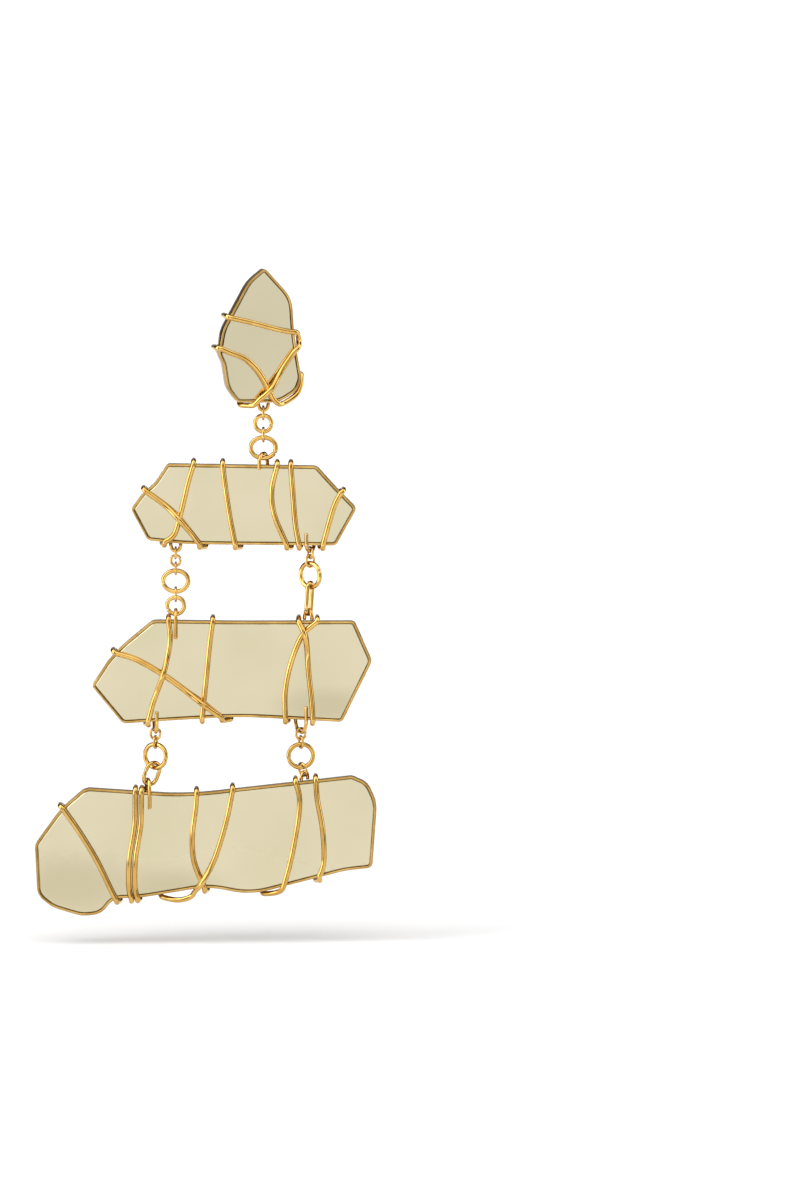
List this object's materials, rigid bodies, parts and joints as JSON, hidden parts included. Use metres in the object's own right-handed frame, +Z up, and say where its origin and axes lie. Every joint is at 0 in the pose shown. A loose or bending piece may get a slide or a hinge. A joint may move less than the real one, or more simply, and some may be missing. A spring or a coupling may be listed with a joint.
{
  "type": "chandelier earring",
  "caption": "Long drop earring of mirror plaques in gold trays, wound with gold wire and hung one under the other on chains of jump rings.",
  "frame": {"origin": "root of the ear post, where it leaves its pad behind the top plaque and goes through the ear", "axes": "+Z up, the mirrors of the three lower plaques face -Y, and the top plaque and the post are turned 16 degrees about Z"},
  "size_m": [0.0633, 0.0168, 0.1202],
  "materials": {
    "tray_gold": "gold plated, satin",
    "mirror": "champagne mirror, polished",
    "wire_gold": "gold plated, polished",
    "ring_gold": "gold plated, polished",
    "post_gold": "gold plated, polished"
  },
  "bodies": {
    "top": {"tier_1_tray": "tray_gold", "tier_1_mirror": "mirror", "tier_1_wire": "wire_gold", "ear_post": "post_gold", "chain_a_upper_staple": "wire_gold"},
    "drop_ring": {"chain_a_link_1": "ring_gold"},
    "drop": {"chain_a_link_2": "ring_gold", "chain_a_link_3": "ring_gold", "chain_a_link_4": "ring_gold", "chain_a_lower_staple": "wire_gold", "tier_2_tray": "tray_gold", "tier_2_mirror": "mirror", "tier_2_wire": "wire_gold", "chain_b_upper_staple": "wire_gold", "chain_c_upper_staple": "wire_gold"},
    "tier_3": {"chain_b_link_1": "ring_gold", "chain_b_link_2": "ring_gold", "chain_b_link_3": "ring_gold", "chain_b_link_4": "ring_gold", "chain_b_link_5": "ring_gold", "chain_b_link_6": "ring_gold", "chain_c_link_1": "ring_gold", "chain_c_link_2": "ring_gold", "chain_c_link_3": "ring_gold", "chain_c_link_4": "ring_gold", "chain_b_lower_staple": "wire_gold", "chain_c_lower_staple": "wire_gold", "tier_3_tray": "tray_gold", "tier_3_mirror": "mirror", "tier_3_wire_left": "wire_gold", "tier_3_wire_right": "wire_gold", "chain_d_upper_staple": "wire_gold", "chain_e_upper_staple": "wire_gold"},
    "tier_4": {"chain_d_link_1": "ring_gold", "chain_d_link_2": "ring_gold", "chain_d_link_3": "ring_gold", "chain_d_link_4": "ring_gold", "chain_e_link_1": "ring_gold", "chain_e_link_2": "ring_gold", "chain_e_link_3": "ring_gold", "chain_e_link_4": "ring_gold", "chain_d_lower_staple": "wire_gold", "chain_e_lower_staple": "wire_gold", "tier_4_tray": "tray_gold", "tier_4_mirror": "mirror", "tier_4_wire_left": "wire_gold", "tier_4_wire_right": "wire_gold"}
  },
  "joints": [
    {"name": "drop_swing_to_front", "type": "hinge", "parent": "top", "child": "drop_ring", "pos_m": [0.0005, -0.00173, -0.01679], "axis": [1, 0, 0], "range_deg": [-40, 40]},
    {"name": "drop_swing_sideways", "type": "hinge", "parent": "drop_ring", "child": "drop", "pos_m": [0.0005, -0.00173, -0.01847], "axis": [0, 1, 0], "range_deg": [-30, 30]},
    {"name": "tier_3_swing", "type": "hinge", "parent": "drop", "child": "tier_3", "pos_m": [-0.01573, -0.00173, -0.04294], "axis": [1, 0, 0], "range_deg": [-35, 35]},
    {"name": "tier_4_swing", "type": "hinge", "parent": "tier_3", "child": "tier_4", "pos_m": [-0.01955, -0.00173, -0.07591], "axis": [1, 0, 0], "range_deg": [-35, 35]}
  ]
}
